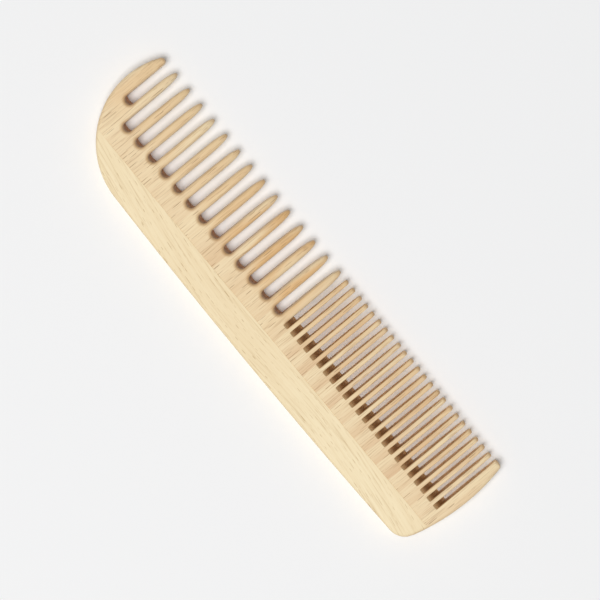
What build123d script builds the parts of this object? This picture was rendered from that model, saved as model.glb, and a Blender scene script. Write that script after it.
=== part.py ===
from build123d import *
import os
from math import sqrt

os.makedirs("parts", exist_ok=True)

# Wooden hair comb lying flat: X along the comb, Y from the back to the tooth tips, Z up.
# Two glued pieces: a spine rail (grain along X) and a tooth board (grain along Y).

# Overall sizes, mm
length = 180.0
height = 42.8
thickness = 8.0
spine_depth = 11.25          # back of the comb to the glue seam

# Plan outline
back_bow = 2330.0            # shallow bow of the back
back_crown_x = 13.0          # where the back is lowest
left_radius = 29.0           # the round end beside the wide teeth
right_bow = 78.0             # the slightly bowed end beside the fine teeth
right_crown_y = 5.5
corner_radius = 6.6
edge_round = 1.1             # softened outer edges and wide teeth

# Tooth row
left_guard = 5.1             # widest part of the round end tooth
right_guard = 4.6
wide_tooth = 3.2
wide_gap = 3.29
wide_share = 0.533           # part of the row given to the wide teeth
fine_tooth = 1.5
saw_kerf = 1.87              # nominal, evened out over the row
wide_root = 17.7             # back of the comb to the wide gap bottoms
first_root = 23.9            # the first gap stops short
fine_root = 17.15            # back of the comb to the kerf ends on the face
saw_runout = 4.2             # a kerf is this much shorter on the lower face

# Tooth tips
flat_depth = 25.9            # back of the comb to the start of the thinning
tip_thickness = 4.2
guard_tip_round = 1.25
fine_nose = 1.4
fine_edge_round = 0.35

# Wide tooth tips: share of the way to the tip, then of the tooth's width and thickness
tip_shaft = [(0.0, 1.0, 1.0), (0.38, 0.96, 0.94), (0.74, 0.875, 0.775)]
tip_point = [tip_shaft[-1], (0.86, 0.756, 0.625), (0.95, 0.54, 0.44), (1.0, 0.235, 0.21)]

# Hidden tongue and groove
tongue = 2.6
tongue_depth = 5.0
glue_gap = 0.05              # each side of the tongue
glue_pocket = 0.3            # beyond the tongue's edge

# Shared positions
left_x, right_x = -length / 2, length / 2
back_y, tip_y = -height / 2, height / 2
mid_z = thickness / 2
seam_y = back_y + spine_depth
wide_root_y = back_y + wide_root
first_root_y = back_y + first_root
fine_root_y = back_y + fine_root
flat_y = back_y + flat_depth
row_start = left_x + left_guard
row_end = right_x - right_guard
wide_pitch = wide_tooth + wide_gap
wide_count = round(wide_share * (row_end - row_start) / wide_pitch)
fine_start = row_start + wide_count * wide_pitch
fine_count = round((row_end - fine_start - saw_kerf) / (saw_kerf + fine_tooth))
kerf = (row_end - fine_start - fine_count * fine_tooth) / (fine_count + 1)
wide_centres = [row_start + wide_gap + wide_tooth / 2 + i * wide_pitch for i in range(wide_count)]
fine_centres = [fine_start + kerf + fine_tooth / 2 + i * (kerf + fine_tooth)
                for i in range(fine_count)]


def circle_meet(a, ra, b, rb):
    """Lower right crossing of two circles."""
    dx, dy = b[0] - a[0], b[1] - a[1]
    d = sqrt(dx * dx + dy * dy)
    t = (ra * ra - rb * rb + d * d) / (2 * d)
    h = sqrt(ra * ra - t * t)
    mx, my = a[0] + t * dx / d, a[1] + t * dy / d
    ends = [(mx + s * h * dy / d, my - s * h * dx / d) for s in (1, -1)]
    return max(ends, key=lambda p: p[0] - p[1])


def along(start, through, reach):
    """Point at a distance from start, on the ray towards another point."""
    dx, dy = through[0] - start[0], through[1] - start[1]
    d = sqrt(dx * dx + dy * dy)
    return start[0] + dx * reach / d, start[1] + dy * reach / d


def comb_outline():
    """Closed plan outline, from the left tip round the back to the right tip."""
    back_c = (back_crown_x, back_y + back_bow)
    left_cx = left_x + left_radius
    rise = sqrt((back_bow - left_radius) ** 2 - (left_cx - back_crown_x) ** 2)
    left_c = (left_cx, back_c[1] - rise)
    side_c = (right_x - right_bow, right_crown_y)
    corner_c = circle_meet(back_c, back_bow - corner_radius, side_c, right_bow - corner_radius)

    left_tip = (left_c[0] - sqrt(left_radius ** 2 - (tip_y - left_c[1]) ** 2), tip_y)
    left_end = along(back_c, left_c, back_bow)
    corner_in = along(back_c, corner_c, back_bow)
    k = corner_radius * sqrt(0.5)
    corner_mid = (corner_c[0] + k, corner_c[1] - k)
    corner_out = along(side_c, corner_c, right_bow)
    right_tip = (side_c[0] + sqrt(right_bow ** 2 - (tip_y - side_c[1]) ** 2), tip_y)
    return Wire([
        ThreePointArc(left_tip, (left_x, left_c[1]), left_end),
        ThreePointArc(left_end, (back_crown_x, back_y), corner_in),
        ThreePointArc(corner_in, corner_mid, corner_out),
        ThreePointArc(corner_out, (right_x, right_crown_y), right_tip),
        Line(right_tip, left_tip),
    ])


def block(x0, x1, y0, y1, z0=0.0, z1=thickness):
    return Pos((x0 + x1) / 2, (y0 + y1) / 2, (z0 + z1) / 2) * Box(x1 - x0, y1 - y0, z1 - z0)


def bar_along_x(profile, x0, x1):
    """Prism with a side profile given as a face in (y, z)."""
    return Plane.YZ.offset(x0) * extrude(profile, x1 - x0)


def side_profile(y0, nose):
    """Side view of the teeth in (y, z): flat faces, then thinned to the tip."""
    drop = (thickness - tip_thickness) / 2
    run = tip_y - flat_y
    bow = (run * run + drop * drop) / (2 * drop)
    mid = (flat_y + run / 2, bow - sqrt(bow * bow - run * run / 4))
    face = Face(Wire([
        Line((y0, 0), (flat_y, 0)),
        ThreePointArc((flat_y, 0), mid, (tip_y, drop)),
        Line((tip_y, drop), (tip_y, thickness - drop)),
        ThreePointArc((tip_y, thickness - drop), (mid[0], thickness - mid[1]), (flat_y, thickness)),
        Line((flat_y, thickness), (y0, thickness)),
        Line((y0, thickness), (y0, 0)),
    ]))
    return face.fillet_2d(nose, face.vertices().filter_by(lambda v: v.X > tip_y - 1)) if nose else face


def soften(solid, radius, keep):
    """Round the edges of the two broad faces, except those the keep test names."""
    rims = [e for e in solid.edges()
            if abs(e.tangent_at(0.5).Z) < 0.5 and abs(e.center().Z - mid_z) > 1 and not keep(e)]
    return fillet(rims, radius)


def on_line(edge, axis, value):
    """True for an edge lying in the plane where that coordinate has the value."""
    box = edge.bounding_box()
    lo, hi = (box.min.X, box.max.X) if axis == "x" else (box.min.Y, box.max.Y)
    return abs(lo - value) < 1e-4 and abs(hi - value) < 1e-4


outline = comb_outline()
blank = extrude(Face(outline), thickness)
thinned = bar_along_x(side_profile(back_y - 10, 0), left_x - 5, right_x + 5)

# Spine rail: the strip behind the seam, with a groove along its front edge
spine = blank & block(left_x - 1, right_x + 1, back_y - 1, seam_y)
spine = soften(spine, edge_round, lambda e: on_line(e, "y", seam_y))
groove_floor = seam_y - tongue_depth - glue_pocket
spine -= block(left_x - 1, right_x + 1, groove_floor, seam_y + 1,
               mid_z - tongue / 2 - glue_gap, mid_z + tongue / 2 + glue_gap)

# Tooth board, wide half: the outline from the left end to the last wide tooth,
# with round-bottomed gaps. Its teeth stop at flat_y, where the tips go on.
wide = blank & thinned & block(left_x - 1, fine_start, seam_y, tip_y + 1)
for i, x in enumerate(wide_centres):
    root = first_root_y if i == 0 else wide_root_y
    gap_x = x - (wide_tooth + wide_gap) / 2
    wide -= block(gap_x - wide_gap / 2, gap_x + wide_gap / 2, root + wide_gap / 2, tip_y + 1)
    wide -= Pos(gap_x, root + wide_gap / 2, mid_z) * Cylinder(wide_gap / 2, thickness)
wide -= block(row_start + wide_gap / 2, fine_start + 1, flat_y, tip_y + 1)
wide = fillet([e for e in wide.edges() if abs(e.tangent_at(0.5).Z) > 0.9
               if e.center().Y > tip_y - 0.1], guard_tip_round)
wide = soften(wide, edge_round,
              lambda e: on_line(e, "y", seam_y) or on_line(e, "y", flat_y))

# Wide tooth tips: rounded sections that narrow from the board to a blunt point
tip_run = tip_y - flat_y


def tip_section(share, width_share, depth_share):
    """Rounded rectangle across a tooth; share is how far it is towards the tip."""
    return Plane.XZ.offset(-(flat_y + share * tip_run)) * RectangleRounded(
        width_share * wide_tooth, depth_share * thickness, width_share * edge_round)


wide_tip = loft([tip_section(*s) for s in tip_shaft]) + loft([tip_section(*s) for s in tip_point])
wide_tips = [Pos(x, 0, mid_z) * wide_tip for x in wide_centres]

# Fine half: a plain band, a sloping bar that closes the kerf ends, and the teeth.
# The saw was lowered through the upper face, so its round blade left sloping ends.
band = block(fine_start - 2 * edge_round, row_end + edge_round, seam_y, fine_root_y)
kerf_end = make_face(Polyline(
    (fine_root_y - 1, 0), (fine_root_y + saw_runout, 0), (fine_root_y, thickness),
    (fine_root_y - 1, thickness), close=True))
kerf_ends = bar_along_x(kerf_end, fine_start - edge_round, row_end + fine_edge_round)
fine = bar_along_x(side_profile(fine_root_y - 1, fine_nose), -fine_tooth / 2, fine_tooth / 2)
fine = fillet([e for e in fine.edges()
               if on_line(e, "x", fine_tooth / 2) or on_line(e, "x", -fine_tooth / 2)
               if not on_line(e, "y", fine_root_y - 1)], fine_edge_round)
fine_teeth = [Pos(x, 0, 0) * fine for x in fine_centres]

# End tooth beside the fine teeth
guard = blank & thinned & block(row_end, right_x + 1, seam_y, tip_y + 1)
guard = soften(guard, edge_round, lambda e: e.center().X < row_end + right_guard / 2
               or on_line(e, "y", seam_y) or on_line(e, "y", tip_y))
guard = fillet([e for e in guard.edges() if not on_line(e, "y", seam_y)
                if on_line(e, "x", row_end) or on_line(e, "y", tip_y)], fine_edge_round)

# Tongue along the back of the board, shaped to the same outline
tongue_bar = blank & block(
    left_x - 1, right_x + 1, seam_y - tongue_depth, seam_y + 1,
    mid_z - tongue / 2, mid_z + tongue / 2)

board = wide.fuse(band, kerf_ends, guard, tongue_bar, *fine_teeth, *wide_tips).clean()

for node, shape in {"spine_rail": spine, "tooth_board": board}.items():
    export_step(shape, f"parts/{node}.step")
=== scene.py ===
import math
from types import SimpleNamespace

import bmesh
import bpy
from bpy.props import FloatProperty, FloatVectorProperty, IntProperty, PointerProperty
from bpy.types import Operator, Panel, PropertyGroup
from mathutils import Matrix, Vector


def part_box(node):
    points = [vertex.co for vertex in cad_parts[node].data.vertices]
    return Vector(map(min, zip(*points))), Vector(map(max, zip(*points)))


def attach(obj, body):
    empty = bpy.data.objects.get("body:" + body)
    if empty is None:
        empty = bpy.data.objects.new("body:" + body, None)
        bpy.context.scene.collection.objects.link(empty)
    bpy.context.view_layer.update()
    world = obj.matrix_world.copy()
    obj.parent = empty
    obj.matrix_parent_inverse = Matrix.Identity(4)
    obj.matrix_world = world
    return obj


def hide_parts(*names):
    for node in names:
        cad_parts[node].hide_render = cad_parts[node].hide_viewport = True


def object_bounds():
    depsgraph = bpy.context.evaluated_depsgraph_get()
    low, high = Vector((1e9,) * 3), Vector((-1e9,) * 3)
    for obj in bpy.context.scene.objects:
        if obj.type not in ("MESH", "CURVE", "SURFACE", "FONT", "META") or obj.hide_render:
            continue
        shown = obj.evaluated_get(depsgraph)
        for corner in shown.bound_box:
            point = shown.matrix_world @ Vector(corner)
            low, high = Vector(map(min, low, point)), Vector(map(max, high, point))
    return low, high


bl_info = {
    "name": "Wooden hair comb",
    "version": (1, 0, 0),
    "blender": (4, 5, 0),
    "location": "3D View > Sidebar > Comb",
    "description": "Builds a two-piece wooden comb with wide and fine teeth in a plain studio",
    "category": "Add Mesh",
}

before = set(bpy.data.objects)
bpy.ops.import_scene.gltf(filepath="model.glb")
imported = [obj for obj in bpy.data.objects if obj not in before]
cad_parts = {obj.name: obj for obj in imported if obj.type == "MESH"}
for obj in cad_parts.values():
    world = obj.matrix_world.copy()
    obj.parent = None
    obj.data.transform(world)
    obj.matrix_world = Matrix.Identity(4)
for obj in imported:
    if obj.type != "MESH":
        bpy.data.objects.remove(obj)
CAD_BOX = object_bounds()
RAIL_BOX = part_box("spine_rail")
BOARD_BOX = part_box("tooth_board")

# The maker's own sizes, which nobody would change, in metres
BACK_BOW = 2.330  # shallow bow of the back
BACK_CROWN_X = 0.013
LEFT_RADIUS = 0.029  # round end beside the wide teeth
RIGHT_BOW = 0.078  # bowed end beside the fine teeth
RIGHT_CROWN_Y = 0.0055
CORNER_RADIUS = 0.0066
FLAT_Y = 0.0045  # past this the faces thin down to the tips
WIDE_ROOT_Y = -0.0037
FIRST_ROOT_Y = 0.0025
FINE_ROOT_Y = -0.00425
TIP_THICKNESS = 0.0042
GUARD_TIP_ROUND = 0.0013  # outer corner of the end teeth's tips
FINE_TIP_ROUND = 0.0005
FINE_NOSE = 0.0014
TIP_CLEARANCE = 0.0002  # between a fine tooth's last row and its rounding
GUARD_TIP_REACH = 0.0022  # where the end teeth's rows stop, from the tip
GUARD_CHORD = 0.0015  # run of the outline that the guard's tip rounding starts from
FINE_ROUND = 0.00035
KERF_ROUND = 0.00015
SAW_RUNOUT = 0.0042  # a kerf is this much shorter on the lower face
CUTTER_RUNOUT = 0.0014  # the same for the middle of a wide gap's end
TONGUE = 0.0026
TONGUE_SLACK = 0.00005  # room for glue above and below the tongue
GLUE_POCKET = 0.0003  # and behind it
SEAM_BEVEL = 0.00007
SUPPORT = 0.00005  # narrow band that keeps the broad faces flat in shading
KERF_CORNER = 0.00025  # corners of a kerf's end, seen from above
KERF_BLEND = 0.0012  # past a kerf's end, where the last wide tooth's rounding begins
KERF_BLEND_ROUND = 0.0005  # how far that rounding has grown there
SAW_REACH = 0.0064  # past a kerf's end, where the side is upright again
BOARD_ROWS = (0.0016, 0.0022)  # depths of extra rows in the board's walls
RAIL_ROW = 0.0018  # the same in the rail's
RAIL_SEAM_ENDS = (0.006, 0.016)  # the seam's end profiles, from the square and the round end

# Steps round the shapes
ROUND_ANGLES = (90, 74, 58, 42, 28, 14, 0)  # round a softened rim, in degrees
ROOT_STEPS = 7
CORNER_STEPS = 6
BAND_STEPS = 14

# Clean-up distances
ROW_WELD = 1e-6
JOIN_WELD = 2e-6
SHARP_ANGLE = math.radians(33)

# The woods
NEXT_SEED = 101.0  # from the draw of the lean to that of the trim
FLECK_LAYER = 0.0013  # depth over which the ray flecks change
PORE_SCALE = 5200.0

# Studio, in metres
FLOOR_SIZE = 8.0
FLOOR_DROP = 0.00002  # keeps the floor just clear of the comb
KEY_SIZE = (1.50, 1.45)
KEY_OFFSET = (0.04, -0.62)  # the lamp, from the comb's middle
KEY_HEIGHT = 2.80
AIM_OFFSET = (0.00306, 0.0053)  # what the camera looks at, from the comb's middle
CLIP = (0.01, 20.0)

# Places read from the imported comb

SEAM_Y = RAIL_BOX[1][1]
BACK_Y = RAIL_BOX[0][1]
TONGUE_Y = BOARD_BOX[0][1]
GROOVE_Y = TONGUE_Y - GLUE_POCKET
TIP_Y = BOARD_BOX[1][1]
LEFT_X = BOARD_BOX[0][0]
RIGHT_X = BOARD_BOX[1][0]
HALF = (CAD_BOX[1][2] - CAD_BOX[0][2]) / 2
MID_Z = (CAD_BOX[1][2] + CAD_BOX[0][2]) / 2


# Settings ----------------------------------------


def metres(name, default, description):
    return FloatProperty(name=name, default=default, description=description, unit="LENGTH",
                         subtype="DISTANCE", precision=5, min=0.0)


def paint(name, default, description):
    return FloatVectorProperty(name=name, default=default, description=description,
                               subtype="COLOR", size=3, min=0.0, max=1.0)


class CombSizes(PropertyGroup):
    """Sizes of the tooth row."""

    left_guard: metres("Round guard", 0.0051, "Widest part of the round end tooth")
    right_guard: metres("Square guard", 0.0046, "Widest part of the square end tooth")
    wide_tooth: metres("Wide tooth", 0.0032, "Width of a wide tooth at its root")
    wide_gap: metres("Wide gap", 0.00329, "Space between two wide teeth")
    wide_count: IntProperty(name="Wide teeth", default=14, min=3,
                            description="Wide teeth, without the guard")
    fine_tooth: metres("Fine tooth", 0.0015, "Width of a fine tooth")
    fine_count: IntProperty(name="Fine teeth", default=23, min=2,
                            description="Fine teeth, without the guard")
    softening: metres("Edge softening", 0.0011, "Rounding of the outer edges and the wide teeth")
    hand_lean: metres("Lean", 0.00006, "How far a tooth tip may stand out of line")
    hand_trim: metres("Trim", 0.00018, "How much shorter a tooth may be than the next")
    seed: IntProperty(name="Seed", default=7, description="Chooses how the teeth differ")


class CombColours(PropertyGroup):
    """Colours of the two woods."""

    rail_light: paint("Rail, light", (0.955, 0.806, 0.528), "Pale wood of the spine rail")
    # Also tints the rail's upright sides darker, as painted shade
    rail_dark: paint("Rail, shade", (0.850, 0.655, 0.390), "Darker drifts in the rail")
    fleck: paint("Ray flecks", (0.480, 0.300, 0.120), "Small brown spindles in the rail")
    board_light: paint("Board, early wood", (0.935, 0.772, 0.492), "Start of a year's growth")
    board_dark: paint("Board, late wood", (0.760, 0.520, 0.300), "End of a year's growth")
    streak: paint("Streaks", (0.300, 0.160, 0.065), "Fine dark lines along the teeth")
    # Also tints the rounded rims, partly as painted shade, and as painted shade the surfaces round
    # the gap ends
    end_grain: paint("End grain", (0.560, 0.320, 0.140), "Cut ends of the fibres")
    honey: paint("Honey stain", (0.760, 0.460, 0.198), "Warmer wood in some of the teeth")
    sanded: paint("Sanded sides", (0.930, 0.840, 0.690), "Pale sides of the wide teeth")
    sawn: paint("Sawn sides", (0.920, 0.640, 0.340), "Raw sides of the fine teeth")
    # Both gap-end browns are partly burn and partly painted shade deeper in the gaps
    scorch_and_shade: paint("Saw scorch", (0.370, 0.165, 0.046), "Dark brown ends of the saw kerfs")
    singe_and_shade: paint("Cutter singe", (0.580, 0.262, 0.088), "Brown ends of the wide gaps")


class CombStudio(PropertyGroup):
    """Light, floor and camera."""

    key_power: FloatProperty(name="Key light", default=66.5, min=0.0, unit="POWER",
                             description="Power of the large soft light")
    sky: FloatProperty(name="Sky", default=0.22, min=0.0,
                       description="Strength of the even light all round")
    sky_colour: paint("Sky colour", (0.92, 0.955, 1.0), "Colour of the even light")
    floor: paint("Floor", (0.940, 0.934, 0.928), "Colour of the plain floor")
    camera_height: metres("Camera height", 1.17, "Distance from the comb's upper face to the lens")
    lean: FloatProperty(name="Camera lean", default=math.radians(4.0), subtype="ANGLE",
                        unit="ROTATION", description="How far the camera leans from straight above")
    view_width: metres("View width", 0.19754, "Width that the picture covers at the upper face")
    turn: FloatProperty(name="Turn", default=math.radians(50.44), subtype="ANGLE", unit="ROTATION",
                        description="How far the comb lies turned in the picture")


# Outline -----------------------------------------


def crossing(a, ra, b, rb):
    """Lower right crossing of two circles."""
    dx, dy = b[0] - a[0], b[1] - a[1]
    d = math.hypot(dx, dy)
    t = (ra * ra - rb * rb + d * d) / (2 * d)
    h = math.sqrt(ra * ra - t * t)
    ends = [(a[0] + (t * dx + s * h * dy) / d, a[1] + (t * dy - s * h * dx) / d) for s in (1, -1)]
    return max(ends, key=lambda p: p[0] - p[1])


def outline():
    """Centres of the four arcs that make the comb's outline."""
    back = (BACK_CROWN_X, BACK_Y + BACK_BOW)
    left_x = LEFT_X + LEFT_RADIUS
    rise = math.sqrt((BACK_BOW - LEFT_RADIUS) ** 2 - (left_x - BACK_CROWN_X) ** 2)
    side = (RIGHT_X - RIGHT_BOW, RIGHT_CROWN_Y)
    corner = crossing(back, BACK_BOW - CORNER_RADIUS, side, RIGHT_BOW - CORNER_RADIUS)
    return SimpleNamespace(back=back, left=(left_x, back[1] - rise), side=side, corner=corner)


EDGE = outline()


def heading(centre, point):
    """Direction from a centre to a point, as an angle."""
    return math.atan2(point[1] - centre[1], point[0] - centre[0])


def left_edge(y, inset=0.0):
    """Left end of the comb at a height, or of the outline drawn that far inside it."""
    return EDGE.left[0] - math.sqrt((LEFT_RADIUS - inset) ** 2 - (y - EDGE.left[1]) ** 2)


def right_edge(y, inset=0.0):
    """Right end of the comb at a height: the bowed end, or the corner behind it."""
    centre, radius = EDGE.side, RIGHT_BOW
    if y < EDGE.side[1] + RIGHT_BOW * math.sin(heading(EDGE.side, EDGE.corner)):
        centre, radius = EDGE.corner, CORNER_RADIUS
    return centre[0] + math.sqrt((radius - inset) ** 2 - (y - centre[1]) ** 2)


def sweep(centre, radius, start, end, steps):
    """Points along an arc between two headings."""
    return [(centre[0] + radius * math.cos(start + (end - start) * i / steps),
             centre[1] + radius * math.sin(start + (end - start) * i / steps))
            for i in range(steps + 1)]


def rounded_corner(before, corner, after, radius, steps):
    """Points of the arc that rounds a corner between two straight runs."""
    def unit(p, q):
        d = math.hypot(q[0] - p[0], q[1] - p[1])
        return (q[0] - p[0]) / d, (q[1] - p[1]) / d

    u, v = unit(corner, before), unit(corner, after)
    half = math.acos(u[0] * v[0] + u[1] * v[1]) / 2
    reach, depth = radius / math.tan(half), radius / math.sin(half)
    w = unit((0, 0), (u[0] + v[0], u[1] + v[1]))
    centre = (corner[0] + w[0] * depth, corner[1] + w[1] * depth)
    a = heading(centre, (corner[0] + u[0] * reach, corner[1] + u[1] * reach))
    b = heading(centre, (corner[0] + v[0] * reach, corner[1] + v[1] * reach))
    turn = (b - a + math.pi) % (2 * math.pi) - math.pi
    return sweep(centre, radius, a, a + turn, steps)


# Thickness ---------------------------------------


def tip_share(y):
    """How far a height lies between the flat part of the teeth, 0, and their tips, 1."""
    return min(1.0, max(0.0, (y - FLAT_Y) / (TIP_Y - FLAT_Y)))


def board_half(y):
    """Half thickness of the guards and the fine teeth: flat, then bowed down to the tips."""
    return HALF - (HALF - TIP_THICKNESS / 2) * tip_share(y) ** 2


def wide_half(y):
    """Half thickness of a wide tooth, which ends in a blunt point."""
    share = tip_share(y)
    return HALF * math.sqrt(1 - 0.70 * share ** 2 - 0.26 * share ** 8)


def wide_width(y):
    """Share of a wide tooth's width that is left at this height."""
    share = tip_share(y)
    return math.sqrt(1 - 0.34 * share ** 2 - 0.605 * share ** 8)


# Walls below a plan path -----------------------


class Stop:
    """A point of a plan path, and how the wall below it is shaped.

    half gives the half thickness, ramp is how far the wall leans forward at the lower face,
    nose rounds a tip, and edge follows the outline.
    """

    def __init__(self, x, y, softening, half=board_half, ramp=0.0, nose=0.0, edge=None):
        self.x, self.y, self.softening, self.half = x, y, softening, half
        self.ramp, self.nose, self.edge = ramp, nose, edge


def wall_shares(softening, depths):
    """Depths of the wall's rows as shares of the way from the rounding to the middle."""
    return [(depth - softening) / (HALF - softening) for depth in depths] + [1.0]


def levels_of(stop, nx, ny, shares):
    """Places down the wall at one stop, from the broad face to the middle."""
    half = stop.half(stop.y)
    support = SUPPORT * min(1.0, stop.softening / FINE_ROUND)
    steps = [(stop.softening + support, 0.0)]
    for angle in ROUND_ANGLES:
        a = math.radians(angle)
        steps.append((stop.softening * (1 - math.cos(a)), stop.softening * (1 - math.sin(a))))
    steps += [(0.0, stop.softening + (half - stop.softening) * share) for share in shares]
    places = []
    for inset, depth in steps:
        if stop.edge:
            x, y = stop.edge(stop.y, inset), stop.y
        else:
            x, y = stop.x - nx * inset, stop.y - ny * inset
        if depth < stop.nose:
            y -= stop.nose - math.sqrt(stop.nose ** 2 - (stop.nose - depth) ** 2)
        places.append((x, y, max(stop.half(y) - depth, 0.0)))
    places[-1] = places[-1][:2] + (0.0,)
    return places


def columns(bm, path, shares, place):
    """A column of vertices for each stop of the path, from the upper face to the lower."""
    made = []
    for i, stop in enumerate(path):
        tx, ty = 1.0, 0.0
        if 0 < i < len(path) - 1:
            tx, ty = path[i + 1].x - path[i - 1].x, path[i + 1].y - path[i - 1].y
        d = math.hypot(tx, ty)
        upper = levels_of(stop, -ty / d, tx / d, shares)
        both = upper + [(x, y, -z) for x, y, z in reversed(upper[:-1])]
        made.append([bm.verts.new(place(x, y + stop.ramp * (HALF - z) / (2 * HALF), MID_Z + z))
                     for x, y, z in both])
    return made


def walls(bm, cols, open_at=lambda i, level: False):
    """Faces between neighbouring columns, but for the places that stay open."""
    for i, (one, other) in enumerate(zip(cols, cols[1:])):
        for level in range(len(one) - 1):
            if not open_at(i, level):
                bm.faces.new((one[level], other[level], other[level + 1], one[level + 1]))


def seam_column(bm, x, front, deep, step, half_slot, place):
    """Profile of the seam at one x; step is the bevel, towards the body of the piece."""
    profile = [(front + step, HALF), (front, HALF - abs(step)),
               (front, half_slot), (deep, half_slot)]
    profile += [(y, -z) for y, z in reversed(profile)]
    return [bm.verts.new(place(x, y, MID_Z + z)) for y, z in profile]


def end_faces(bm, end, seam, upper, lower):
    """Faces at one end of a piece, above and below its tongue or groove."""
    bm.faces.new((end[0], seam[1], seam[0]))
    bm.faces.new(end[:upper + 1] + [seam[2], seam[1]])
    bm.faces.new(end[lower:] + [seam[6], seam[5]])
    bm.faces.new((end[-1], seam[7], seam[6]))


def finished(bm, name):
    """Closes the mesh, turns its faces outwards and keeps its crisp edges crisp."""
    bmesh.ops.remove_doubles(bm, verts=bm.verts, dist=JOIN_WELD)
    bmesh.ops.delete(bm, geom=[v for v in bm.verts if not v.link_faces], context="VERTS")
    loose = [e for e in bm.edges if len(e.link_faces) != 2]
    if loose:
        near = tuple(loose[0].verts[0].co)
        raise RuntimeError(f"{name}: {len(loose)} open edges, one near {near}")
    bmesh.ops.recalc_face_normals(bm, faces=bm.faces)
    for face in bm.faces:
        face.smooth = True
    mesh = bpy.data.meshes.new(name)
    bm.to_mesh(mesh)
    bm.free()
    mesh.set_sharp_from_angle(angle=SHARP_ANGLE)
    return mesh


# Teeth -------------------------------------------


def tooth_shell(path, strips, x1, s, x0=None, mirrored=False):
    """Teeth with the band behind them, open where they meet their neighbours.

    A strip is the first and last stop of the part of a tooth that stands past FLAT_Y.
    The shell meets its neighbours at x0 and x1; with no x0 it starts at the comb's own end.
    """
    bm = bmesh.new()

    def place(x, y, z):
        return (-x if mirrored else x, y, z)

    shares = wall_shares(s.softening, (*BOARD_ROWS, HALF - TONGUE / 2))
    cols = columns(bm, path, shares, place)
    walls(bm, cols)
    right, left = (seam_column(bm, x, SEAM_Y, TONGUE_Y, SEAM_BEVEL, TONGUE / 2, place)
                   if x is not None else None for x in (x1, x0))

    # Broad faces: one flat polygon behind, then strips across each tooth
    bottom = len(cols[0]) - 1
    inside = {i for low, high in strips for i in range(low + 1, high)}
    rim = [i for i in range(len(cols)) if i not in inside]
    for level, corner in ((0, 0), (bottom, -1)):
        ring = [cols[i][level] for i in rim] + [right[corner]]
        bm.faces.new(ring + ([left[corner]] if left else []))
        for low, high in strips:
            while high - low > 1:
                a, b = cols[low][level], cols[high][level]
                c, d = cols[low + 1][level], cols[high - 1][level]
                bm.faces.new((a, b, d, c) if c != d else (a, b, c))
                low, high = low + 1, high - 1

    # Seam face and tongue
    if left:
        for a, b, c, d in zip(left, left[1:], right, right[1:]):
            bm.faces.new((a, b, d, c))
    else:
        end, middle = cols[0], bottom // 2
        upper, lower = middle - 1, middle + 1
        x = path[0].edge(TONGUE_Y)
        t0, t1 = (bm.verts.new(place(x, TONGUE_Y, MID_Z + z)) for z in (TONGUE / 2, -TONGUE / 2))
        end_faces(bm, end, right, upper, lower)
        bm.faces.new((end[upper], t0, right[3], right[2]))
        bm.faces.new((t0, t1, right[4], right[3]))
        bm.faces.new((t1, end[lower], right[5], right[4]))
        bm.faces.new((end[upper], end[middle], end[lower], t1, t0))
    mesh = bpy.data.meshes.new("teeth")
    bm.to_mesh(mesh)
    bm.free()
    return mesh


def round_root(boundary, flank, root, softening):
    """Bottom of a wide gap: a quarter circle from the middle of the gap to the flank."""
    side = 1 if flank > boundary else -1
    r = abs(flank - boundary)
    angles = [math.radians(90 * i / ROOT_STEPS) for i in range(ROOT_STEPS + 1)]
    return [Stop(boundary + side * r * math.sin(a), root + r * (1 - math.cos(a)), softening,
                 ramp=CUTTER_RUNOUT * math.cos(a)) for a in angles]


def saw_root(boundary, flank, softening):
    """End of a saw kerf, which slopes through the board where the blade ran out."""
    side, c = (1 if flank > boundary else -1), KERF_CORNER
    stops = [Stop(boundary, FINE_ROOT_Y, KERF_ROUND, ramp=SAW_RUNOUT)]
    for a in (0, math.radians(30), math.radians(60), math.radians(90)):
        stops.append(Stop(flank - side * c * (1 - math.sin(a)), FINE_ROOT_Y + c * (1 - math.cos(a)),
                          KERF_ROUND, ramp=SAW_RUNOUT))
    stops.append(Stop(flank, FINE_ROOT_Y + KERF_BLEND, min(softening, KERF_BLEND_ROUND),
                      ramp=SAW_RUNOUT))
    stops.append(Stop(flank, FINE_ROOT_Y + SAW_REACH, softening))
    return stops


def flank_rows(count, last_y, crowd):
    """Heights along a tooth past FLAT_Y, closer together towards the tip."""
    return [FLAT_Y + (last_y - FLAT_Y) * (1 - (1 - i / count) ** crowd)
            for i in range(count + 1)]


def wide_path(centre, boundaries, roots, s):
    """A wide tooth's plan and its strip. A root is a height, or None for a saw kerf."""
    half = s.wide_tooth / 2
    sides, strip = [], []
    for side, boundary, root in zip((-1, 1), boundaries, roots):
        flank = centre + side * half
        behind = (saw_root(boundary, flank, s.softening) if root is None
                  else round_root(boundary, flank, root, s.softening))
        strip.append(len(behind))
        for y in flank_rows(count=14, last_y=TIP_Y, crowd=1.9):
            share = wide_width(y)
            behind.append(Stop(centre + side * half * share, y, s.softening * share, wide_half))
        sides.append(behind)
    path = sides[0] + sides[1][::-1]
    return path, (strip[0], len(path) - 1 - strip[1])


def fine_path(centre, kerf, s):
    """A fine tooth's plan and its strip."""
    half = s.fine_tooth / 2
    sides = []
    for side in (-1, 1):
        flank = centre + side * half
        stops = saw_root(centre + side * (half + kerf / 2), flank, FINE_ROUND)
        low = len(stops)
        last = TIP_Y - FINE_NOSE - FINE_TIP_ROUND - TIP_CLEARANCE
        rows = flank_rows(count=7, last_y=last, crowd=1.2)
        stops += [Stop(flank, y, FINE_ROUND) for y in rows]
        tip = rounded_corner((flank, FLAT_Y), (flank, TIP_Y), (centre, TIP_Y),
                             FINE_TIP_ROUND, steps=4)
        stops += [Stop(x, y, FINE_ROUND, nose=FINE_NOSE) for x, y in tip]
        sides.append(stops)
    path = sides[0] + sides[1][::-1]
    return path, (low, len(path) - 1 - low)


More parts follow.
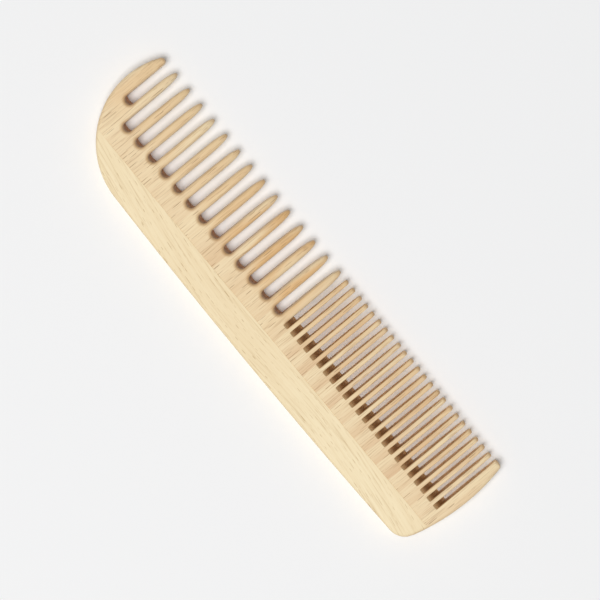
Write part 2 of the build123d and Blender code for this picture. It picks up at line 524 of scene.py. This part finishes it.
def guard_path(edge, flank, boundary, root, inner, tip_radius, s):
    """An end tooth's plan and its strip, with its rounded end on the left."""
    behind = (saw_root(boundary, flank, inner) if root is None
              else round_root(boundary, flank, root, inner))
    rows = flank_rows(count=8, last_y=TIP_Y - GUARD_TIP_REACH, crowd=1.0)
    band = [SEAM_Y + (FLAT_Y - SEAM_Y) * i / BAND_STEPS for i in range(BAND_STEPS)]
    left = [Stop(edge(y), y, s.softening, edge=edge) for y in band + rows]
    tip = (edge(TIP_Y), TIP_Y)
    low_edge = (edge(TIP_Y - GUARD_CHORD), TIP_Y - GUARD_CHORD)
    meet = (s.softening + inner) / 2

    def rounding(before, corner, after, radius, first):
        turn = rounded_corner(before, corner, after, radius, CORNER_STEPS)
        return [Stop(x, y, first + (meet - first) * k / CORNER_STEPS)
                for k, (x, y) in enumerate(turn)]

    left += rounding(low_edge, tip, (flank, TIP_Y), GUARD_TIP_ROUND, s.softening)
    right = behind + [Stop(flank, y, inner) for y in rows]
    right += rounding((flank, FLAT_Y), (flank, TIP_Y), tip, tip_radius, inner)
    path = left + right[::-1]
    return path, (len(band), len(path) - 1 - len(behind))


def tooth_row_plan(s):
    """Where the row starts, changes to fine teeth and ends, with both pitches and the kerf."""
    start, end = LEFT_X + s.left_guard, RIGHT_X - s.right_guard
    pitch = s.wide_tooth + s.wide_gap
    saw_start = start + s.wide_count * pitch
    kerf = (end - saw_start - s.fine_count * s.fine_tooth) / (s.fine_count + 1)
    return SimpleNamespace(start=start, end=end, saw_start=saw_start, kerf=kerf,
                           pitch=pitch, fine_pitch=kerf + s.fine_tooth)


def board_pieces(s, tree, wood):
    """The strips of the tooth board, from the round end to the square one."""
    row = tooth_row_plan(s)
    start, end, pitch, kerf = row.start, row.end, row.pitch, row.kerf
    centres = [start + s.wide_gap + s.wide_tooth / 2 + i * pitch for i in range(s.wide_count)]

    # Round end tooth with the first wide tooth, whose gap stops short
    first = start + s.wide_gap / 2
    path, strip = guard_path(left_edge, start, first, FIRST_ROOT_Y, inner=s.softening,
                             tip_radius=0.00125, s=s)
    bounds = (first, first + pitch)
    more, next_strip = wide_path(centres[0], bounds, (FIRST_ROOT_Y, WIDE_ROOT_Y), s)
    offset = len(path) - 1
    strips = [strip, tuple(i + offset for i in next_strip)]
    pieces = [tooth_shell(path + more[1:], strips, bounds[1], s)]

    # Wide teeth between round gaps
    bounds = (bounds[1], bounds[1] + pitch)
    path, strip = wide_path(centres[1], bounds, (WIDE_ROOT_Y, WIDE_ROOT_Y), s)
    cell = tooth_shell(path, [strip], bounds[1], s, x0=bounds[0])
    pieces.append(tooth_row(tree, cell, s.wide_count - 2, pitch, s, s.seed, wood))

    # Last wide tooth, beside the first kerf
    bounds = (centres[-1] - pitch / 2, row.saw_start + kerf / 2)
    path, strip = wide_path(centres[-1], bounds, (WIDE_ROOT_Y, None), s)
    pieces.append(tooth_shell(path, [strip], bounds[1], s, x0=bounds[0]))

    # Fine teeth
    path, strip = fine_path(row.saw_start + kerf + s.fine_tooth / 2, kerf, s)
    cell = tooth_shell(path, [strip], bounds[1] + row.fine_pitch, s, x0=bounds[1])
    pieces.append(tooth_row(tree, cell, s.fine_count, row.fine_pitch, s, s.seed + 1, wood))

    # Square end tooth, drawn mirrored
    path, strip = guard_path(lambda y, inset=0.0: -right_edge(y, inset), -end, kerf / 2 - end,
                             None, inner=FINE_ROUND, tip_radius=0.0006, s=s)
    pieces.append(tooth_shell(path, [strip], kerf / 2 - end, s, mirrored=True))
    return pieces


def rail_mesh(s):
    """Spine rail: the bowed strip behind the seam, with the groove for the tongue."""
    rows = 4
    heights = [SEAM_Y + (GROOVE_Y - SEAM_Y) * i / rows for i in range(rows + 1)]
    path = [Stop(right_edge(y), y, s.softening, edge=right_edge) for y in heights]
    # Round the corner, along the back and round the left end to where its side rows begin
    to_corner, to_left = heading(EDGE.back, EDGE.corner), heading(EDGE.back, EDGE.left)
    bends = sweep(EDGE.corner, CORNER_RADIUS, math.radians(-33), to_corner, 12)
    bends += sweep(EDGE.back, BACK_BOW, to_corner, to_left, 48)[1:]
    bends += sweep(EDGE.left, LEFT_RADIUS, to_left, math.radians(-119), 10)[1:]
    path += [Stop(x, y, s.softening) for x, y in bends]
    path += [Stop(left_edge(y), y, s.softening, edge=left_edge) for y in reversed(heights)]

    bm = bmesh.new()

    def place(x, y, z):
        return (x, y, z)

    slot = TONGUE / 2 + TONGUE_SLACK
    cols = columns(bm, path, wall_shares(s.softening, (RAIL_ROW, HALF - slot)), place)
    bottom, last = len(cols[0]) - 1, len(cols) - 1
    middle = bottom // 2
    upper, lower = middle - 1, middle + 1
    walls(bm, cols, lambda i, level: (i < rows or i >= last - rows) and level in (upper, middle))
    # Seam profiles, at the two ends and above some of the stops of the back
    marks = range(23, 60, 6)
    places = [RIGHT_X - RAIL_SEAM_ENDS[0], *(path[i].x for i in marks), LEFT_X + RAIL_SEAM_ENDS[1]]
    seams = [seam_column(bm, x, SEAM_Y, GROOVE_Y, -SEAM_BEVEL, slot, place) for x in places]
    for seam, rim in ((seams[0], cols[:rows + 1]), (seams[-1], cols[:-rows - 2:-1])):
        end_faces(bm, rim[0], seam, upper, lower)
        bm.faces.new([c[upper] for c in rim] + [seam[3], seam[2]])
        bm.faces.new([rim[rows][i] for i in (upper, middle, lower)] + [seam[4], seam[3]])
        bm.faces.new([c[lower] for c in rim] + [seam[4], seam[5]])
    bounds = [0, *marks, last]
    for one, other, start, end in zip(seams, seams[1:], bounds, bounds[1:]):
        for a, b, c, d in zip(one, one[1:], other, other[1:]):
            bm.faces.new((a, b, d, c))
        for level, corner in ((0, 0), (bottom, -1)):
            rim = [c[level] for c in cols[start:end + 1]]
            bm.faces.new(rim + [other[corner], one[corner]])
    return finished(bm, "spine rail")


# Node trees --------------------------------------


class Bench:
    """Adds and links the nodes of one tree."""

    def __init__(self, tree):
        self.tree, self.made = tree, 0

    def add(self, kind, inputs=None, **settings):
        node = self.tree.nodes.new(kind)
        node.location = (190 * (self.made // 3), -230 * (self.made % 3))
        self.made += 1
        for key, value in settings.items():
            setattr(node, key, value)
        for key, value in (inputs or {}).items():
            self.feed(node.inputs[key], value)
        return node

    def feed(self, socket, value):
        """Links a socket into another one, or gives it a plain value."""
        if isinstance(value, bpy.types.NodeSocket):
            self.tree.links.new(value, socket)
        else:
            socket.default_value = value

    def math(self, operation, a, b=0.0):
        return self.add("ShaderNodeMath", {0: a, 1: b}, operation=operation).outputs[0]

    def times(self, first, *others):
        """Product of all the values."""
        for other in others:
            first = self.math("MULTIPLY", first, other)
        return first

    def plus(self, a, b):
        return self.math("ADD", a, b)

    def minus(self, a, b):
        return self.math("SUBTRACT", a, b)

    def over(self, a, b):
        return self.math("DIVIDE", a, b)

    def squares(self, first, *others):
        """Sum of the squares of the values."""
        total = self.times(first, first)
        for other in others:
            total = self.plus(total, self.times(other, other))
        return total

    def split(self, vector):
        return self.add("ShaderNodeSeparateXYZ", {0: vector}).outputs

    def vector(self, x, y, z):
        return self.add("ShaderNodeCombineXYZ", {0: x, 1: y, 2: z}).outputs[0]

    def vector_math(self, operation, a, b):
        return self.add("ShaderNodeVectorMath", {0: a, 1: b}, operation=operation).outputs

    def scaled(self, vector, x, y, z):
        return self.vector_math("MULTIPLY", vector, (x, y, z))[0]

    def smooth(self, value, low, high, to_low=0.0, to_high=1.0):
        return self.add("ShaderNodeMapRange", {0: value, 1: low, 2: high, 3: to_low, 4: to_high},
                        interpolation_type="SMOOTHSTEP").outputs[0]

    def fade(self, mask, none, full):
        """A mask turned into an amount: none where it is 0, full where it is 1."""
        return self.smooth(mask, 0.0, 1.0, none, full)

    def noise(self, vector, scale, detail, roughness=0.5):
        return self.add("ShaderNodeTexNoise", {"Vector": vector, "Scale": scale, "Detail": detail,
                                               "Roughness": roughness}).outputs[0]

    def mix(self, factor, a, b):
        return self.add("ShaderNodeMix", {0: factor, 6: a, 7: b}, data_type="RGBA",
                        clamp_factor=True).outputs[2]

    def tint(self, colour, other, *shares):
        """Lays another colour over a colour, as strongly as the product of the shares."""
        return self.mix(self.times(*shares), colour, solid(other))

    def between(self, share, a, b):
        return self.add("ShaderNodeMix", {0: share, 2: a, 3: b}, data_type="FLOAT").outputs[0]

    def effect(self, tree, **inputs):
        """A shared effect with this material's own values."""
        node = self.add("ShaderNodeGroup", node_tree=tree)
        for key, value in inputs.items():
            self.feed(node.inputs[key.replace("_", " ").capitalize()], value)
        return node.outputs


def add_sockets(tree, in_out, sockets):
    """Adds sockets to a tree, each given by its name, kind and default."""
    for name, kind, default in sockets:
        socket = tree.interface.new_socket(name, in_out=in_out, socket_type="NodeSocket" + kind)
        if default is not None:
            socket.default_value = default


# Geometry Nodes: a row of like teeth -------------


def row_tree():
    """Node tree that sets one tooth beside the next and welds them into a strip."""
    tree = bpy.data.node_groups.new("Tooth row", "GeometryNodeTree")
    add_sockets(tree, "INPUT", (
        ("Tooth", "Geometry", None), ("Count", "Int", 12), ("Pitch", "Float", 0.0065),
        ("Lean", "Float", 0.0), ("Trim", "Float", 0.0), ("Root height", "Float", FLAT_Y),
        ("Tip height", "Float", TIP_Y), ("Seed", "Int", 0), ("Wood", "Material", None)))
    add_sockets(tree, "OUTPUT", (("Row", "Geometry", None),))

    b = Bench(tree)
    given = b.add("NodeGroupInput").outputs
    line = b.add("GeometryNodeMeshLine", {
        "Count": given["Count"], "Offset": b.vector(given["Pitch"], 0.0, 0.0)},
        mode="OFFSET", count_mode="TOTAL")
    teeth = b.add("GeometryNodeInstanceOnPoints", {
        "Points": line.outputs["Mesh"], "Instance": given["Tooth"]}).outputs["Instances"]

    def then(kind, inputs=None, **settings):
        """The teeth after one more node."""
        return b.add(kind, {"Geometry": teeth, **(inputs or {})}, **settings).outputs["Geometry"]

    # Every tooth draws its own lean and trim
    for name, least, seed in (("lean", -1.0, given["Seed"]),
                              ("trim", 0.0, b.plus(given["Seed"], NEXT_SEED))):
        drawn = b.add("FunctionNodeRandomValue", {2: least, 3: 1.0, "Seed": seed},
                      data_type="FLOAT")
        teeth = then("GeometryNodeStoreNamedAttribute", {"Name": name, "Value": drawn.outputs[1]},
                     data_type="FLOAT", domain="INSTANCE")
    teeth = then("GeometryNodeRealizeInstances")

    # They count more the nearer a point is to the tip
    height = b.split(b.add("GeometryNodeInputPosition").outputs["Position"])["Y"]
    share = b.smooth(height, given["Root height"], given["Tip height"])
    moves = []
    for name, most, sign in (("lean", given["Lean"], 1.0), ("trim", given["Trim"], -1.0)):
        own = b.add("GeometryNodeInputNamedAttribute", {"Name": name}, data_type="FLOAT")
        moves.append(b.times(own.outputs["Attribute"], most, b.times(share, sign)))
    teeth = then("GeometryNodeSetPosition", {"Offset": b.vector(*moves, 0.0)})
    teeth = then("GeometryNodeMergeByDistance", {"Distance": ROW_WELD})
    teeth = then("GeometryNodeSetMaterial", {"Material": given["Wood"]})
    b.add("NodeGroupOutput", {"Row": teeth})
    return tree


def tooth_row(tree, mesh, count, pitch, s, seed, wood):
    """The plain mesh of a row of like teeth."""
    obj = bpy.data.objects.new("tooth row", mesh)
    bpy.context.scene.collection.objects.link(obj)
    row = obj.modifiers.new("Tooth row", "NODES")
    row.node_group = tree
    values = {"Count": count, "Pitch": pitch, "Lean": s.hand_lean, "Trim": s.hand_trim,
              "Seed": seed, "Wood": wood}
    for item in tree.interface.items_tree:
        if item.name in values and item.in_out == "INPUT":
            row[item.identifier] = values[item.name]
    bpy.context.view_layer.update()
    seen = obj.evaluated_get(bpy.context.evaluated_depsgraph_get())
    made = bpy.data.meshes.new_from_object(seen)
    bpy.data.objects.remove(obj)
    return made


def joined(meshes, name):
    """One closed mesh from strips that share their borders."""
    bm = bmesh.new()
    for mesh in meshes:
        bm.from_mesh(mesh)
        bpy.data.meshes.remove(mesh)
    return finished(bm, name)


def show(name, mesh, wood, node):
    """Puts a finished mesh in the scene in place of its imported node."""
    mesh.materials.clear()
    mesh.materials.append(wood)
    obj = bpy.data.objects.new(name, mesh)
    bpy.context.scene.collection.objects.link(obj)
    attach(obj, "root")
    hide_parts(node)


# Shader nodes ------------------------------------


def solid(colour):
    return (*colour, 1.0)


def effect_group(name, inputs, outputs):
    """An empty shared effect: its tree, its bench and its input sockets."""
    tree = bpy.data.node_groups.new(name, "ShaderNodeTree")
    add_sockets(tree, "INPUT", [(label, "Vector" if default is None else "Float", default)
                                for label, default in inputs.items()])
    add_sockets(tree, "OUTPUT", [(label, "Float", None) for label in outputs])
    bench = Bench(tree)
    return tree, bench, bench.add("NodeGroupInput").outputs


def growth_rings():
    """Years of growth round a pith that lies outside the piece. Vector is across, depth, along."""
    tree, b, given = effect_group(
        "Growth rings", {"Vector": None, "Pith across": 0.0, "Pith depth": -0.1,
                         "Ring width": 0.0044, "Wobble": 0.002}, ("Late wood", "Year"))
    across, depth = b.split(given["Vector"])[:2]
    sway = b.noise(b.scaled(given["Vector"], 1.0, 1.0, 0.22), 55.0, 3.0)
    sway = b.times(b.minus(sway, 0.5), given["Wobble"])
    u = b.minus(across, given["Pith across"])
    v = b.minus(depth, given["Pith depth"])
    r = b.math("SQRT", b.squares(u, v))
    years = b.over(b.plus(r, sway), given["Ring width"])
    share = b.math("FRACT", years)
    late = b.times(b.smooth(share, 0.15, 0.93), b.smooth(share, 1.0, 0.955))
    year = b.add("ShaderNodeTexWhiteNoise", {"W": b.math("FLOOR", years)}, noise_dimensions="1D")
    b.add("NodeGroupOutput", {"Late wood": late, "Year": year.outputs["Value"]})
    return tree


def fibre_lines():
    """Fine lines along the grain. Vector is across, depth, along."""
    tree, b, given = effect_group(
        "Fibre lines", {"Vector": None, "Spacing": 0.0005, "Length": 0.02},
        ("Lines", "Threads", "Drift"))
    across, depth, along = b.split(given["Vector"])
    stretched = b.vector(b.over(across, given["Spacing"]),
                         b.over(depth, b.times(given["Spacing"], 2.0)),
                         b.over(along, given["Length"]))
    lines = b.noise(stretched, 1.0, 3.0, 0.6)
    drift = b.noise(b.scaled(given["Vector"], 1.0, 1.0, 0.25), 70.0, 2.0)
    b.add("NodeGroupOutput", {"Lines": b.smooth(lines, 0.32, 0.68),
                              "Threads": b.smooth(lines, 0.57, 0.70),
                              "Drift": b.smooth(drift, 0.3, 0.7)})
    return tree


def ray_flecks():
    """Short spindles along the grain. Vector is across, depth, along."""
    tree, b, given = effect_group(
        "Ray flecks", {"Vector": None, "Row spacing": 0.0018, "End spacing": 0.003,
                       "Width": 0.00028, "Length": 0.0026}, ("Flecks",))
    across, depth, along = b.split(given["Vector"])
    cell = b.vector(b.over(across, given["Row spacing"]), b.over(depth, FLECK_LAYER),
                    b.over(along, given["End spacing"]))
    spots = b.add("ShaderNodeTexVoronoi", {"Vector": cell, "Scale": 1.0, "Randomness": 1.0})
    x, y, z = b.split(b.vector_math("SUBTRACT", cell, spots.outputs["Position"])[0])
    # Every fleck has its own strength, length and width
    strong, long, wide = b.split(spots.outputs["Color"])
    wide = b.times(given["Width"], b.fade(wide, 0.3, 0.6))
    long = b.times(given["Length"], b.fade(long, 0.22, 0.75))
    x = b.over(b.times(x, given["Row spacing"]), wide)
    z = b.over(b.times(z, given["End spacing"]), long)
    far = b.squares(x, b.times(y, 1.6), z)
    strength = b.plus(b.smooth(strong, 0.0, 0.6, 0.1, 0.35), b.smooth(strong, 0.6, 1.0, 0.0, 0.65))
    b.add("NodeGroupOutput", {"Flecks": b.times(b.smooth(far, 1.3, 0.3), strength)})
    return tree


def cut_faces():
    """Which way a surface was cut, its pores, and how deep it lies. Grain is the fibre direction.

    Deep is for the burn and painted shade inside a gap: it grows below the upper face and fades at
    the lower.
    """
    tree, b, given = effect_group(
        "Cut faces", {"Normal": None, "Grain": None, "Vector": None},
        ("End grain", "Flank", "Rim", "Upright", "Pores", "Deep"))
    along = b.vector_math("DOT_PRODUCT", given["Normal"], given["Grain"])["Value"]
    end = b.smooth(b.math("ABSOLUTE", along), 0.30, 0.95)
    up = b.math("ABSOLUTE", b.split(given["Normal"])[2])
    rim = b.times(b.smooth(up, 0.995, 0.75), b.smooth(up, 0.05, 0.4))
    pores = b.noise(given["Vector"], PORE_SCALE, 1.0)
    height = b.split(given["Vector"])[2]
    deep = b.times(b.smooth(height, 2 * HALF - 0.0005, 2 * HALF - 0.0040),
                   b.smooth(height, 0.0001, 0.0030, 0.35, 1.0))
    b.add("NodeGroupOutput", {"End grain": end, "Flank": b.smooth(up, 0.75, 0.45), "Rim": rim,
                              "Upright": b.smooth(up, 0.35, 0.10),
                              "Pores": b.smooth(pores, 0.52, 0.66), "Deep": deep})
    return tree


def gap_ends():
    """How near a surface is to the closed end of the nearest gap, and how far past it."""
    tree, b, given = effect_group(
        "Gap ends", {"Vector": None, "First gap": 0.0, "Pitch": 0.0065, "Half gap": 0.0016,
                     "Root": 0.0}, ("Near", "Past"))
    x, y = b.split(given["Vector"])[:2]
    turns = b.plus(b.over(b.minus(x, given["First gap"]), given["Pitch"]), 0.5)
    aside = b.times(b.minus(b.math("FRACT", turns), 0.5), given["Pitch"])
    past = b.minus(y, given["Root"])
    behind = b.math("MINIMUM", b.minus(past, given["Half gap"]), 0.0)
    far = b.math("SQRT", b.squares(aside, behind))
    near = b.smooth(b.minus(far, given["Half gap"]), 0.0015, 0.0)
    b.add("NodeGroupOutput", {"Near": b.times(near, b.smooth(past, 0.0045, 0.0010)), "Past": past})
    return tree


def wood_material(name):
    material = bpy.data.materials.new(name)
    material.use_nodes = True
    material.node_tree.nodes.clear()
    return material, Bench(material.node_tree)


def finish_wood(b, colour, roughness, height):
    """A thin oil finish over the colour, with the grain just to be felt."""
    bump = b.add("ShaderNodeBump", {"Height": height, "Strength": 0.35, "Distance": 0.00004})
    skin = b.add("ShaderNodeBsdfPrincipled", {
        "Base Color": colour, "Roughness": roughness, "Normal": bump.outputs[0],
        "Specular IOR Level": 0.22})
    b.add("ShaderNodeOutputMaterial", {"Surface": skin.outputs[0]})


def rail_wood(c, effects):
    """Pale flat-sawn wood, grain along the comb, full of small ray flecks."""
    material, b = wood_material("rail wood")
    coords = b.add("ShaderNodeTexCoord")
    place, normal = coords.outputs["Object"], coords.outputs["Normal"]
    x, y, z = b.split(place)
    # The grain rises towards the round end and dips again at the square one
    lean = b.math("TANH", b.times(b.minus(x, 0.015), 28.0))
    line = b.plus(b.times(x, 0.17), b.times(lean, -0.0078))
    grain = b.vector(b.plus(y, line), z, x)
    rings = b.effect(effects.rings, vector=grain, pith_across=-0.020, pith_depth=-0.11,
                     ring_width=0.0030, wobble=0.0035)
    fibres = b.effect(effects.fibres, vector=grain, spacing=0.0006, length=0.021)
    flecks = b.effect(effects.flecks, vector=grain, row_spacing=0.0013, end_spacing=0.0027,
                      width=0.00030, length=0.0032)["Flecks"]
    cuts = b.effect(effects.cuts, normal=normal, grain=(1.0, 0.0, 0.0), vector=place)
    colour = b.tint(solid(c.rail_light), c.rail_dark, rings["Late wood"], 0.45)
    colour = b.tint(colour, c.rail_dark, fibres["Drift"], 0.25)
    colour = b.tint(colour, c.rail_dark, fibres["Lines"], 0.34)
    colour = b.tint(colour, c.fleck, fibres["Threads"], 0.26)
    colour = b.tint(colour, c.fleck, flecks, b.fade(cuts["Upright"], 0.50, 0.20))
    colour = b.tint(colour, c.end_grain, cuts["End grain"], 0.45)
    # The rounded rims are tinted a little darker: partly burnish, partly painted shade along the
    # rounding
    colour = b.tint(colour, c.end_grain, cuts["Rim"], 0.05)
    # Painted shade: the upright sides are tinted darker than the top, which also dims the light
    # they throw on the floor
    colour = b.tint(colour, c.rail_dark, cuts["Upright"], 0.35)
    height = b.plus(b.times(fibres["Lines"], -0.4), b.times(flecks, -0.6))
    finish_wood(b, colour, b.fade(fibres["Lines"], 0.46, 0.56), height)
    return material


def board_wood(c, effects, s):
    """Warmer wood, grain along the teeth, with clear years of growth and short dark streaks."""
    material, b = wood_material("board wood")
    coords = b.add("ShaderNodeTexCoord")
    place, normal = coords.outputs["Object"], coords.outputs["Normal"]
    x, y, z = b.split(place)
    grain = b.vector(x, z, y)
    rings = b.effect(effects.rings, vector=grain, pith_across=-0.060, pith_depth=-0.10,
                     ring_width=0.0044, wobble=0.0045)
    fibres = b.effect(effects.fibres, vector=grain, spacing=0.00045, length=0.012)
    flecks = b.effect(effects.flecks, vector=grain, row_spacing=0.0012, end_spacing=0.0044,
                      width=0.00028, length=0.0066)["Flecks"]
    cuts = b.effect(effects.cuts, normal=normal, grain=(0.0, 1.0, 0.0), vector=place)
    # Years differ in strength, and are fainter at the round end
    strength = b.times(b.fade(rings["Year"], 0.30, 0.95), b.smooth(x, -0.07, 0.02, 0.35, 1.0))
    colour = b.tint(solid(c.board_light), c.board_dark, rings["Late wood"], strength)
    colour = b.tint(colour, c.board_dark, fibres["Drift"], 0.22)
    colour = b.tint(colour, c.board_dark, fibres["Lines"], 0.36)

    # Honey-coloured patches run up the teeth, most of all in the last wide ones
    patches = b.smooth(b.noise(b.scaled(place, 1.0, 0.10, 0.5), 210.0, 1.0), 0.30, 0.56)
    row_share = b.times(b.smooth(x, -0.045, -0.022, 0.42, 1.0),
                        b.smooth(x, 0.004, 0.009, 1.0, 0.45),
                        b.smooth(x, 0.074, 0.085, 1.0, 0.15))
    tooth_share = b.smooth(y, -0.006, 0.004, 0.12, 0.88)
    colour = b.tint(colour, c.honey, patches, row_share, tooth_share)
    # Dark threads and flecks lie over the stain
    colour = b.tint(colour, c.streak, fibres["Threads"], 0.27)
    colour = b.tint(colour, c.streak, flecks, b.fade(cuts["Upright"], 0.66, 0.20))

    # Sanded sides beside the wide teeth, raw sawn ones beside the fine teeth. The board's
    # outer sides lie beyond the row of gaps: they are only lightly sanded.
    row = tooth_row_plan(s)
    within = b.times(b.smooth(x, row.start - 0.0026, row.start - 0.0016),
                     b.smooth(x, row.end + 0.0024, row.end + 0.0014),
                     b.smooth(y, -0.0075, -0.0060))
    fine = b.smooth(x, row.saw_start - 0.00036, row.saw_start + 0.00044)
    side = b.tint(solid(c.sanded), c.sawn, fine, within)
    cover = b.times(cuts["Flank"], b.fade(fine, 0.5, 0.9), b.fade(within, 0.25, 1.0))
    colour = b.mix(cover, colour, side)

    # The closed ends of the gaps are painted darker, a painted shade round them; their sides are
    # darker still deeper in, partly burn by saw and cutter and partly painted shade.
    first_tooth = row.start + s.wide_gap + s.wide_tooth / 2
    wide_root = b.smooth(x, first_tooth - 0.0002, first_tooth + 0.0002, FIRST_ROOT_Y, WIDE_ROOT_Y)
    wide_ends = b.effect(effects.ends, vector=place, first_gap=row.start + s.wide_gap / 2,
                         pitch=row.pitch, half_gap=s.wide_gap / 2, root=wide_root)
    fine_ends = b.effect(effects.ends, vector=place, first_gap=row.saw_start + row.kerf / 2,
                         pitch=row.fine_pitch, half_gap=row.kerf / 2, root=FINE_ROOT_Y)
    near = b.between(fine, wide_ends["Near"], fine_ends["Near"])
    # Painted shade round the closed ends of the gaps, strong at the wide ones and faint at the
    # kerfs
    colour = b.tint(colour, c.end_grain, near, within, b.fade(fine, 0.62, 0.05))
    colour = b.tint(colour, c.end_grain, cuts["End grain"], b.fade(cuts["Pores"], 0.55, 0.75),
                    b.smooth(y, 0.0, 0.006, 0.12, 1.0))
    past = b.between(fine, wide_ends["Past"], fine_ends["Past"])
    reach = b.times(b.smooth(past, 0.0100, 0.0020), b.smooth(past, 0.0080, 0.0035, 0.30, 1.0),
                    b.smooth(past, -0.0012, -0.0004), within)
    # Partly saw and cutter burn, partly painted shade: the sides of the gap ends get darker deeper
    # in the gap
    burn_and_shade = b.mix(fine, solid(c.singe_and_shade), solid(c.scorch_and_shade))
    colour = b.mix(b.times(cuts["Flank"], cuts["Deep"], reach, 0.90), colour, burn_and_shade)
    # The rounded rims are tinted a little darker: partly burnish, partly painted shade along the
    # rounding
    colour = b.tint(colour, c.end_grain, cuts["Rim"], 0.08)
    height = b.plus(b.times(fibres["Lines"], -0.5), b.times(flecks, -0.6))
    finish_wood(b, colour, b.fade(fibres["Lines"], 0.47, 0.58), height)
    return material


def shared_effects():
    """The wood effects, built once."""
    def once(name, make):
        return bpy.data.node_groups.get(name) or make()

    return SimpleNamespace(rings=once("Growth rings", growth_rings),
                           fibres=once("Fibre lines", fibre_lines),
                           flecks=once("Ray flecks", ray_flecks),
                           cuts=once("Cut faces", cut_faces), ends=once("Gap ends", gap_ends))


# Operators ---------------------------------------


class COMB_OT_spine_rail(Operator):
    """Build the spine rail with its groove"""

    bl_idname = "comb.spine_rail"
    bl_label = "Spine rail"

    def execute(self, context):
        scene = context.scene
        wood = rail_wood(scene.comb_colours, shared_effects())
        show("Spine_rail", rail_mesh(scene.comb_sizes), wood, "spine_rail")
        return {"FINISHED"}


class COMB_OT_tooth_board(Operator):
    """Build the tooth board: the band, its tongue and both kinds of teeth"""

    bl_idname = "comb.tooth_board"
    bl_label = "Tooth board"

    def execute(self, context):
        scene, sizes = context.scene, context.scene.comb_sizes
        wood = board_wood(scene.comb_colours, shared_effects(), sizes)
        pieces = board_pieces(sizes, row_tree(), wood)
        show("Tooth_board", joined(pieces, "tooth board"), wood, "tooth_board")
        return {"FINISHED"}


class COMB_OT_studio(Operator):
    """Set up the plain floor, the soft light and the camera above the comb"""

    bl_idname = "comb.studio"
    bl_label = "Studio"

    def execute(self, context):
        scene, look = context.scene, context.scene.comb_studio
        middle = [(a + b) / 2 for a, b in zip(*CAD_BOX)]

        bpy.ops.mesh.primitive_plane_add(size=FLOOR_SIZE,
                                         location=(0, 0, CAD_BOX[0][2] - FLOOR_DROP))
        floor = context.active_object
        floor.name = "Floor"
        paper, b = wood_material("floor paper")
        skin = b.add("ShaderNodeBsdfPrincipled", {
            "Base Color": solid(look.floor), "Roughness": 0.85, "Specular IOR Level": 0.1})
        b.add("ShaderNodeOutputMaterial", {"Surface": skin.outputs[0]})
        floor.data.materials.append(paper)

        world = bpy.data.worlds.new("soft room")
        world.use_nodes = True
        glow = world.node_tree.nodes["Background"]
        glow.inputs["Color"].default_value = solid(look.sky_colour)
        glow.inputs["Strength"].default_value = look.sky
        scene.world = world

        lamp = bpy.data.lights.new("Key", "AREA")
        lamp.shape = "RECTANGLE"
        lamp.energy = look.key_power
        lamp.size, lamp.size_y = KEY_SIZE
        key = bpy.data.objects.new("Key", lamp)
        key.location = (middle[0] + KEY_OFFSET[0], middle[1] + KEY_OFFSET[1], KEY_HEIGHT)
        key.rotation_euler = (-key.location).to_track_quat("-Z", "Y").to_euler()
        scene.collection.objects.link(key)

        lens = bpy.data.cameras.new("Camera")
        lens.sensor_fit = "HORIZONTAL"
        lens.angle = 2 * math.atan(look.view_width / 2 / look.camera_height)
        lens.clip_start, lens.clip_end = CLIP
        camera = bpy.data.objects.new("Camera", lens)
        camera.rotation_euler = (-look.lean, 0.0, look.turn)
        aim = Vector((middle[0] + AIM_OFFSET[0], middle[1] + AIM_OFFSET[1], CAD_BOX[1][2]))
        backwards = camera.rotation_euler.to_matrix() @ Vector((0.0, 0.0, 1.0))
        camera.location = aim + backwards * look.camera_height
        scene.collection.objects.link(camera)
        scene.camera = camera
        scene.view_settings.view_transform = "Standard"
        return {"FINISHED"}


class COMB_PT_panel(Panel):
    """Builds the comb and shows its sizes and colours"""

    bl_label = "Wooden comb"
    bl_idname = "COMB_PT_panel"
    bl_space_type = "VIEW_3D"
    bl_region_type = "UI"
    bl_category = "Comb"

    def draw(self, context):
        layout, scene = self.layout, context.scene
        for operator in OPERATORS:
            layout.operator(operator.bl_idname)
        for settings in (scene.comb_sizes, scene.comb_colours, scene.comb_studio):
            box = layout.box()
            for name in settings.__annotations__:
                box.prop(settings, name)


OPERATORS = (COMB_OT_spine_rail, COMB_OT_tooth_board, COMB_OT_studio)
CLASSES = (CombSizes, CombColours, CombStudio) + OPERATORS + (COMB_PT_panel,)


def register():
    for cls in CLASSES:
        bpy.utils.register_class(cls)
    bpy.types.Scene.comb_sizes = PointerProperty(type=CombSizes)
    bpy.types.Scene.comb_colours = PointerProperty(type=CombColours)
    bpy.types.Scene.comb_studio = PointerProperty(type=CombStudio)


def unregister():
    del bpy.types.Scene.comb_studio
    del bpy.types.Scene.comb_colours
    del bpy.types.Scene.comb_sizes
    for cls in reversed(CLASSES):
        bpy.utils.unregister_class(cls)


def main():
    register()
    bpy.ops.comb.spine_rail()
    bpy.ops.comb.tooth_board()
    bpy.ops.comb.studio()


if __name__ == "__main__":
    main()
